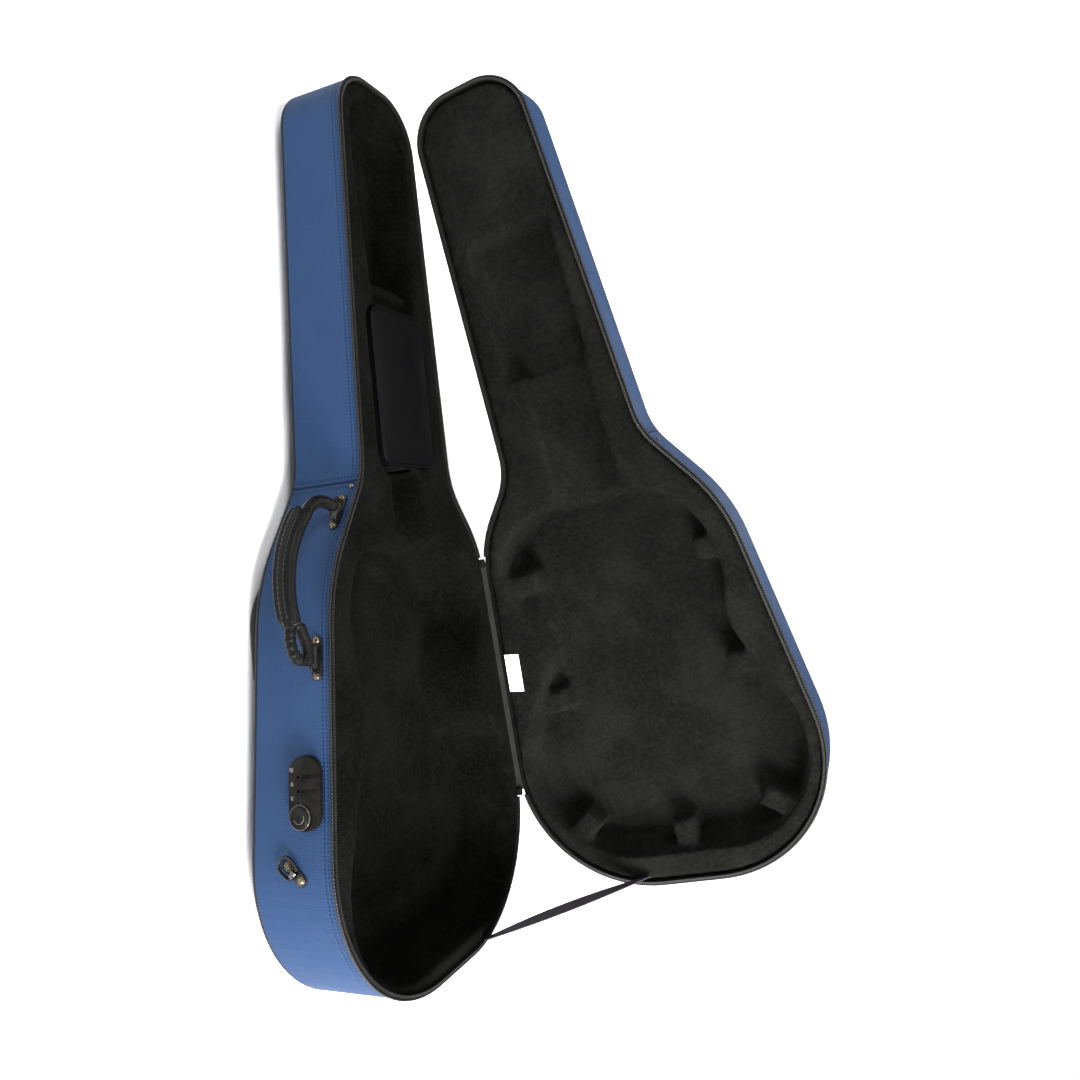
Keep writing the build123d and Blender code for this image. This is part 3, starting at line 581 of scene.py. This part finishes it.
def ribbon(pieceName, rows, thick):
    # a band of cloth through rows of points, with its length and width as its map
    long, wide = len(rows), len(rows[0])
    bpy.ops.mesh.primitive_grid_add(x_subdivisions=long - 1, y_subdivisions=wide - 1, size=2)
    piece = bpy.context.active_object
    piece.name = pieceName
    runs = [0.0]
    for index in range(1, long):
        runs.append(runs[-1] + (rows[index][wide // 2] - rows[index - 1][wide // 2]).length)
    places = {}
    for vertex in piece.data.vertices:
        row, column = round((vertex.co.x + 1) / 2 * (long - 1)), round((vertex.co.y + 1) / 2 * (wide - 1))
        places[vertex.index] = (row, column)
        vertex.co = rows[row][column]
    layer = piece.data.uv_layers.new(name="wrap")
    for loop in piece.data.loops:
        row, column = places[loop.vertex_index]
        layer.data[loop.index].uv = (runs[row], (rows[row][column] - rows[row][0]).length)
    applyModifier(piece, "SOLIDIFY", thickness=thick, offset=0.0)
    only(piece)
    bpy.ops.object.shade_smooth_by_angle(angle=math.radians(50))
    return piece, runs[-1]


def wallPlace(side, along, up, tilt=0.0):
    # in the case's own frame: X runs along the wall, Y up and Z out of it
    point, outward, _ = outlineAt(side, along)
    out = Vector((*outward, 0))
    matrix = Matrix((Vector((0, 0, 1)).cross(out), Vector((0, 0, 1)), out)).transposed().to_4x4()
    matrix.translation = (point.x, point.y, up)
    return matrix @ Matrix.Rotation(math.radians(tilt), 4, "Z")


def ringAt(matrix, major, minor):
    bpy.ops.mesh.primitive_torus_add(
        major_radius=major, minor_radius=minor, major_segments=28, minor_segments=8,
    )
    piece = bpy.context.active_object
    piece.matrix_world = matrix
    bpy.ops.object.shade_smooth()
    return piece


def pegAt(matrix, radius, depth, sides=12):
    bpy.ops.mesh.primitive_cylinder_add(vertices=sides, radius=radius, depth=depth)
    piece = bpy.context.active_object
    piece.matrix_world = matrix
    return piece


# Foam linings, the cradle, and the padding on the back
lining = {"voxel": 0.0038, "smoothing": 8}
baseLining = softCopy("baseLining", lining["voxel"], lining["smoothing"], "base_foam", "base_shell")
settle(baseLining, "basePlushPaintedShade", "base", "base_foam")
lidLining = softCopy("lidLining", lining["voxel"], lining["smoothing"], "lid_foam", "foam_blocks")
settle(lidLining, "lidPlush", "lid", "lid_foam", "foam_blocks")
for pieceName, node, voxel, smoothing, finishName in (
    ("neckCradle", "neck_cradle", 0.0026, 10, "basePlushPaintedShade"),
    ("yokePad", "yoke_pad", 0.0026, 12, "padCloth"),
    ("strapHandleSide", "carrying_strap_handle_side", 0.0026, 12, "padCloth"),
    ("strapHingeSide", "carrying_strap_hinge_side", 0.0026, 12, "padCloth"),
):
    settle(softCopy(pieceName, voxel, smoothing, node), finishName, "base", node)
print("linings softened:", len(baseLining.data.polygons), len(lidLining.data.polygons))

# Cloth round the walls, the zip rows and the pipings
for pieceName, node, finishName, body, toRest in (
    ("baseWallCloth", "base_side_cloth", "baseCloth", "base", baseToRest),
    ("lidWallCloth", "lid_side_cloth", "lidCloth", "lid", lidToRest),
    ("baseZipCoil", "base_zip", "zip", "base", baseToRest),
    ("lidZipCoil", "lid_zip", "zip", "lid", lidToRest),
    ("baseRimPiping", "base_rim_piping", "cord", "base", baseToRest),
    ("lidRimPiping", "lid_rim_piping", "cord", "lid", lidToRest),
    ("backPiping", "back_piping", "cord", "base", baseToRest),
    ("lidPiping", "lid_piping", "cord", "lid", lidToRest),
):
    piece = copyNodes(pieceName, node)
    only(piece)
    bpy.ops.object.shade_smooth_by_angle(angle=math.radians(50 if finishName == "cord" else 25))
    applyModifier(piece, "WEIGHTED_NORMAL", keep_sharp=True)
    wrapPiece(piece, toRest)
    settle(piece, finishName, body, node)
print("cloth wrapped round the walls")

# The cloth hinge bends between the two rims, and the strap hangs a little slack between them
hinge = {
    "from": 0.161, "to": 0.486, "inset": 0.0018, "overlap": 0.0018, "bow": 0.3, "rows": 60, "thick": 0.0009,
}
hingeRows = []
for index in range(hinge["rows"] + 1):
    along = hinge["from"] + (hinge["to"] - hinge["from"]) * index / hinge["rows"]
    point, outward, _ = outlineAt(1, along)
    inner = point - outward * hinge["inset"]
    low = baseToRest @ Vector((inner.x, inner.y, rimHeight - hinge["overlap"]))
    high = lidToRest @ Vector((inner.x, inner.y, lidRimHeight + hinge["overlap"]))
    outside = baseToRest @ Vector((point.x, point.y, rimHeight + caseSizes["zipGap"] / 2))
    bow = (outside - (low + high) / 2) * hinge["bow"]
    shares = [column / 4 for column in range(5)]
    hingeRows.append([low.lerp(high, share) + bow * math.sin(math.pi * share) for share in shares])
hingeCloth, hingeLong = ribbon("hingeCloth", hingeRows, hinge["thick"])
setFinish(hingeCloth, "hingeTape")
middleRow = hingeRows[hinge["rows"] // 2]
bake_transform(hingeCloth)
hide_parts("hinge_tape_base", "hinge_tape_lid")
hingeWide = sum((after - before).length for before, after in zip(middleRow, middleRow[1:]))

stay = {
    "base": (0.074, 0.006, rimHeight + 0.0005), "lid": (0.066, 0.012, lidRimHeight - 0.0005),
    "wide": 0.019, "thick": 0.0013, "rows": 40,
    "sag": (0.003, -0.003, -0.008), "edge": (1.13, -0.48, -0.6), "twist": 0.46, "lean": 0.1,
}
stayStart, stayEnd = baseToRest @ Vector(stay["base"]), lidToRest @ Vector(stay["lid"])
stayRun = (stayEnd - stayStart).normalized()
stayEdge = Vector(stay["edge"])
stayEdge = (stayEdge - stayRun * stayEdge.dot(stayRun)).normalized()
stayRows = []
for index in range(stay["rows"] + 1):
    share = index / stay["rows"]
    centre = stayStart.lerp(stayEnd, share) + Vector(stay["sag"]) * 4 * share * (1 - share)
    twist = stay["twist"] * math.sin(math.pi * share) + stay["lean"]
    across = Matrix.Rotation(twist, 3, stayRun) @ stayEdge
    stayRows.append([centre + across * stay["wide"] * (column / 4 - 0.5) for column in range(5)])
stayStrap, stayLong = ribbon("stayStrap", stayRows, stay["thick"])
setFinish(stayStrap, "webbing")
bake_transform(stayStrap)
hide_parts("stay_strap")
print("hinge and strap made")

# The flap over the box: padded leather with a piped edge
flap = {
    "from": 0.612, "to": 0.800, "half": 0.056, "round": 0.018, "top": rimHeight + 0.005, "thick": 0.005,
    "crown": 0.0035, "piping": 0.0017, "strip": 0.004, "voxel": 0.0016, "smoothing": 5,
}
boxFlap = softCopy("boxFlap", flap["voxel"], flap["smoothing"], "box_flap")
toCase = baseToRest.inverted()
flapMiddle = (flap["from"] + flap["to"]) / 2
flapHalf = (flap["to"] - flap["from"]) / 2
for vertex in boxFlap.data.vertices:
    spot = toCase @ vertex.co
    if spot.z > flap["top"] - flap["thick"]:
        acrossShare = min(1, abs(spot.x / flap["half"]))
        alongShare = min(1, abs((spot.y - flapMiddle) / flapHalf))
        spot.z += flap["crown"] * ((1 - acrossShare ** 3) * (1 - alongShare ** 4))
        vertex.co = baseToRest @ spot
settle(boxFlap, "flapLeather", "box_flap", "box_flap")
flapSpots = ((1, flap["from"]), (1, flap["to"]), (-1, flap["to"]), (-1, flap["from"]))
flapCorners = [((side * flap["half"], along), flap["round"]) for side, along in flapSpots]
flapLoop = roundedLoop(flapCorners, 0.003)
hingeSide = flap["half"] - flap["strip"]  # the strip holds the flap there, without piping
first = next(index for index, point in enumerate(flapLoop) if flapLoop[index - 1].x > hingeSide >= point.x)
flapLoop = [point for point in flapLoop[first:] + flapLoop[:first] if point.x <= hingeSide]
flapEdge = [baseToRest @ Vector((*point, flap["top"] - 0.002)) for point in flapLoop]
settle(tube("flapPiping", flapEdge, flap["piping"]), "flapLeather", "box_flap")
print("flap made")

# The handle: a leather roll with a stitched flange, on two loops
handle = {
    "low": 0.4023, "high": 0.555, "up": 0.0932, "bar": 0.0112, "droop": 12, "reach": (0.026, 0.045, 0.034),
    "ends": (0.027, 0.020), "lean": 0.006, "grip": 0.0081, "voxel": 0.0010, "smoothing": 9,
}
flangeSizes = {"from": 0.004, "to": 0.0185, "thick": 0.0046, "rows": 48}
whipping = {"turns": 8, "start": 3, "unwound": 10, "sink": 0.0002, "radius": 0.0013}
barLow = wallPlace(-1, handle["low"], handle["up"]) @ Vector((0, 0, handle["bar"]))
barHigh = wallPlace(-1, handle["high"], handle["up"]) @ Vector((0, 0, handle["bar"]))
handleRun = (barHigh - barLow).normalized()
handleHalf = (barHigh - barLow).length / 2
droop = math.radians(handle["droop"])
handleReach = Vector((-handleRun.y, handleRun.x, 0)) * math.cos(droop) - Vector((0, 0, math.sin(droop)))
handleUp = handleRun.cross(handleReach).normalized()
handleFrame = Matrix((handleRun, handleUp.cross(handleRun), handleUp)).transposed().to_4x4()
handleFrame.translation = (barLow + barHigh) / 2
handleFrame = baseToRest @ handleFrame


def circleThrough(first, second, third):
    # centre and radius of the circle through three points of a plane
    ax, ay = second[0] - first[0], second[1] - first[1]
    bx, by = third[0] - first[0], third[1] - first[1]
    area = 2 * (ax * by - ay * bx)
    x = (by * (ax * ax + ay * ay) - ay * (bx * bx + by * by)) / area
    y = (ax * (bx * bx + by * by) - bx * (ax * ax + ay * ay)) / area
    return Vector((first[0] + x, first[1] + y)), math.hypot(x, y)


gripEnds = (
    (-handleHalf + handle["ends"][0], handle["reach"][0]),
    (handleHalf - handle["ends"][1], handle["reach"][2]),
)
gripCentre, gripRadius = circleThrough(gripEnds[0], (handle["lean"], handle["reach"][1]), gripEnds[1])
gripFrom, gripTo = (math.atan2(end[1] - gripCentre.y, end[0] - gripCentre.x) for end in gripEnds)


def gripPoint(share, out, level):
    # share runs along the grip from its low end, out is the distance outside the roll's middle line
    angle = gripFrom + (gripTo - gripFrom) * share
    radius = gripRadius + out
    x, y = gripCentre.x + radius * math.cos(angle), gripCentre.y + radius * math.sin(angle)
    return handleFrame @ Vector((x, y, level))


flangeRows = []
for index in range(flangeSizes["rows"] + 1):
    share = 0.015 + 0.97 * index / flangeSizes["rows"]
    taper = min(1.0, 0.55 + 6 * min(share, 1 - share))
    reach = flangeSizes["from"] + (flangeSizes["to"] - flangeSizes["from"]) * taper
    outs = [flangeSizes["from"] + (reach - flangeSizes["from"]) * column / 4 for column in range(5)]
    flangeRows.append([gripPoint(share, out, 0) for out in outs])
flange, _ = ribbon("handleFlange", flangeRows, flangeSizes["thick"])
legs = {  # corners in millimetres from the handle's end and from its axis, the end, and the radius
    "upper": ([(-22, 35), (-12, 31), (-3, 24), (1, 13), (1, 1)], 1, 0.0072),
    "outer": ([(31, 32), (20, 31), (9, 28), (-2, 22), (-6, 15), (-5, 8)], -1, 0.0056),
    "inner": ([(30, 21), (24, 17), (13, 8), (3, 4), (-3, 3)], -1, 0.0064),
}


def legPath(name):
    # the leg's middle line in the handle's frame, smoothed through its corners
    corners, side, _ = legs[name]
    line = [Vector((side * handleHalf + x / 1000, y / 1000, 0)) for x, y in corners]
    for _ in range(3):
        cut = [line[0]]
        for first, second in zip(line, line[1:]):
            cut += [first.lerp(second, 0.25), first.lerp(second, 0.75)]
        line = cut + [line[-1]]
    return line


legTubes = [tube("leg", [handleFrame @ point for point in legPath(name)], legs[name][2]) for name in legs]
for name in legs:
    bpy.ops.mesh.primitive_uv_sphere_add(segments=20, ring_count=10, radius=legs[name][2])
    knob = bpy.context.active_object
    knob.location = handleFrame @ legPath(name)[-1]
    legTubes.append(knob)
outerLeg = legPath("outer")
for index in range(whipping["turns"]):
    step = whipping["start"] + round(index * (len(outerLeg) - whipping["unwound"]) / whipping["turns"])
    place = (outerLeg[step + 1] - outerLeg[step]).to_track_quat("Z", "Y").to_matrix().to_4x4()
    place.translation = outerLeg[step]
    legTubes.append(ringAt(handleFrame @ place, legs["outer"][2] - whipping["sink"], whipping["radius"]))
leather = joined("handleLeather", [copyNodes("handleCore", "handle_grip"), flange] + legTubes)
applyModifier(leather, "REMESH", mode="VOXEL", voxel_size=handle["voxel"])
applyModifier(leather, "SMOOTH", factor=0.5, iterations=handle["smoothing"])
bpy.ops.object.shade_smooth()
settle(leather, "handleLeather", "handle", "handle_grip", "handle_loops")
thread = {"pitch": 0.0046, "long": 0.0031, "radius": 0.0005, "rows": (0.0085, 0.0155), "band": 0.02}
threadLevel = flangeSizes["thick"] / 2 - 0.0001
stitches = []
gripLong = abs(gripTo - gripFrom) * gripRadius
for out in thread["rows"]:
    for index in range(1, int(gripLong / thread["pitch"]) - 1):
        share = (index + 0.5) * thread["pitch"] / gripLong
        spot, ahead = gripPoint(share, out, threadLevel), gripPoint(share + 0.005, out, threadLevel)
        place = (ahead - spot).to_track_quat("Z", "X").to_matrix().to_4x4()
        place.translation = spot
        stitches.append(pegAt(place, thread["radius"], thread["long"], 6))
bandAngles = [turn * step / 24 for step in range(25)]  # a band of thread where the cover ends
band = [
    gripPoint(thread["band"], handle["grip"] * math.cos(angle), handle["grip"] * math.sin(angle))
    for angle in bandAngles
]
stitches.append(tube("bandThread", band, thread["radius"]))
settle(joined("handleThread", stitches), "thread", "handle")
print("handle made")

# Metal and plastic pieces, with their edges broken so that they catch the light
for pieceName, node, finishName, body, bevel in (
    ("bracketUpper", "handle_bracket_upper", "blackMetal", "base", 0.0003),
    ("bracketLower", "handle_bracket_lower", "blackMetal", "base", 0.0003),
    ("bracketScrews", "bracket_screws", "brass", "base", 0.0002),
    ("ringRivets", "ring_rivets", "brass", "base", 0.0002),
    ("seamStud", "seam_stud", "brass", "base", 0.0002),
    ("lidStud", "lid_stud", "brass", "lid", 0.0002),
    ("lockHousing", "lock_body", "lock", "base", 0.0004),
    ("lockButton", "lock_button", "lock", "button", 0.0004),
    ("lockDial1", "lock_dial_1", "dial", "dial_1", 0.0003),
    ("lockDial2", "lock_dial_2", "dial", "dial_2", 0.0003),
    ("lockDial3", "lock_dial_3", "dial", "dial_3", 0.0003),
    ("ringPlates", "ring_plates", "blackMetal", "base", 0.0003),
    ("ringClips", "ring_clips", "brightMetal", "base", 0.0003),
    ("sliderUpper", "slider_upper", "blackMetal", "base", 0.0003),
    ("sliderLower", "slider_lower", "blackMetal", "base", 0.0003),
    ("pullerUpper", "puller_upper", "blackMetal", "puller_upper", 0.0002),
    ("pullerLower", "puller_lower", "blackMetal", "puller_lower", 0.0002),
    ("strapRingHandleSide", "strap_ring_handle_side", "glossMetal", "ring_handle_side", 0.0),
    ("strapRingHingeSide", "strap_ring_hinge_side", "glossMetal", "ring_hinge_side", 0.0),
):
    piece = copyNodes(pieceName, node)
    if bevel:
        corner = math.radians(32)
        applyModifier(piece, "BEVEL", width=bevel, segments=2, limit_method="ANGLE", angle_limit=corner)
    only(piece)
    bpy.ops.object.shade_smooth_by_angle(angle=math.radians(34 if bevel else 60))
    settle(piece, finishName, body, node)

ring = {"along": 0.1873, "up": 0.0619, "tilt": 49.6}
rivets = {
    "half": 0.0103, "top": 0.0017, "washerUp": 0.0004, "washer": (0.0042, 0.00055),
    "rivetHoleShadeUp": 0.0018, "rivetHoleShade": (0.0011, 0.0003),
}
screws = {
    "half": 0.0185, "top": 0.0016, "washerUp": 0.0003, "washer": (0.0037, 0.0004),
    "rivetHoleShadeUp": 0.0018, "rivetHoleShade": (0.0010, 0.0003),
}
spots = [
    (wallPlace(side, ring["along"], ring["up"], ring["tilt"] if side < 0 else 180 - ring["tilt"]), rivets)
    for side in (-1, 1)
]
spots += [(wallPlace(-1, along, handle["up"]), screws) for along in (handle["low"], handle["high"])]
washers, rivetHoleShades = [], []
for spot, sizes in spots:
    for end in (-1, 1):
        head = baseToRest @ spot @ Matrix.Translation((end * sizes["half"], 0, sizes["top"]))
        washers.append(ringAt(head @ Matrix.Translation((0, 0, sizes["washerUp"])), *sizes["washer"]))
        # painted shade: a small dark disc on each rivet and screw head for the shade in its hollow
        rivetHoleShades.append(pegAt(head @ Matrix.Translation((0, 0, sizes["rivetHoleShadeUp"])), *sizes["rivetHoleShade"]))
settle(joined("washers", washers), "brass", "base")
settle(joined("rivetHoleShades", rivetHoleShades), "piping", "base")

lock = {
    "along": 0.2672, "up": 0.0805, "high": 0.012, "button": (0.0232, -0.0025), "lip": (0.0123, 0.0007),
    "glint": 0.0062, "glintUp": 0.0015, "glintThick": 0.00055,
}
lockFrame = baseToRest @ wallPlace(-1, lock["along"], lock["up"])
buttonFrame = lockFrame @ Matrix.Translation((*lock["button"], lock["high"]))
# painted highlight: the ring round the button takes the lighter glint finish
settle(joined("buttonLipGlint", [ringAt(buttonFrame, *lock["lip"])]), "lockGlint", "base")
# painted highlight: a crescent of the lighter glint finish on the button
glintAngles = [tenth / 10 for tenth in range(-12, 20)]
glint = [
    buttonFrame @ Vector((lock["glint"] * math.cos(angle), lock["glint"] * math.sin(angle), lock["glintUp"]))
    for angle in glintAngles
]
settle(tube("buttonGlint", glint, lock["glintThick"]), "lockGlint", "button")
slots = {
    "along": (-0.0167, -0.0023), "up": 0.0062, "out": 0.0099, "slope": -23, "long": 0.0150, "wide": 0.0036,
    "shadeThick": 0.0006, "end": (0.0006, 0.0012),
}
slotTurn = Matrix.Rotation(math.radians(slots["slope"]), 4, "X")
slotShades, ends = [], []
for along in slots["along"]:
    face = lockFrame @ Matrix.Translation((along, slots["up"], slots["out"])) @ slotTurn
    for place, size, found in (
        (0, (slots["wide"], slots["long"], slots["shadeThick"]), slotShades),
        (-slots["long"] / 2, (slots["wide"], *slots["end"]), ends),
    ):
        bpy.ops.mesh.primitive_cube_add(size=1)
        piece = bpy.context.active_object
        piece.matrix_world = face @ Matrix.Translation((0, place, 0)) @ Matrix.Diagonal((*size, 1))
        found.append(piece)
# painted shade: thin dark sheets over the zip slots for the shade inside them
settle(joined("lockSlotShades", slotShades), "shell", "base")
# painted highlight: small lighter pieces at the ends of the zip slots
settle(joined("lockSlotGlints", ends), "lockGlint", "base")
print("hardware made")

# CAD pieces that only take a finish
for node, finishName in (
    ("base_shell", "shell"), ("lid_shell", "shell"), ("back_panel", "panelCloth"),
    ("lid_panel", "panelCloth"), ("accessory_box", "tray"), ("flap_hinge_strip", "flapLeather"),
    ("label_patch", "label"),
):
    setFinish(frame["nodes"][node], finishName)

floor = {"size": 60.0, "side": 64}
bpy.ops.mesh.primitive_grid_add(
    x_subdivisions=floor["side"], y_subdivisions=floor["side"], size=floor["size"], location=(0, 0, 0),
)
studioFloor = bpy.context.active_object
studioFloor.name = "studioFloor"
setFinish(studioFloor, "floor")
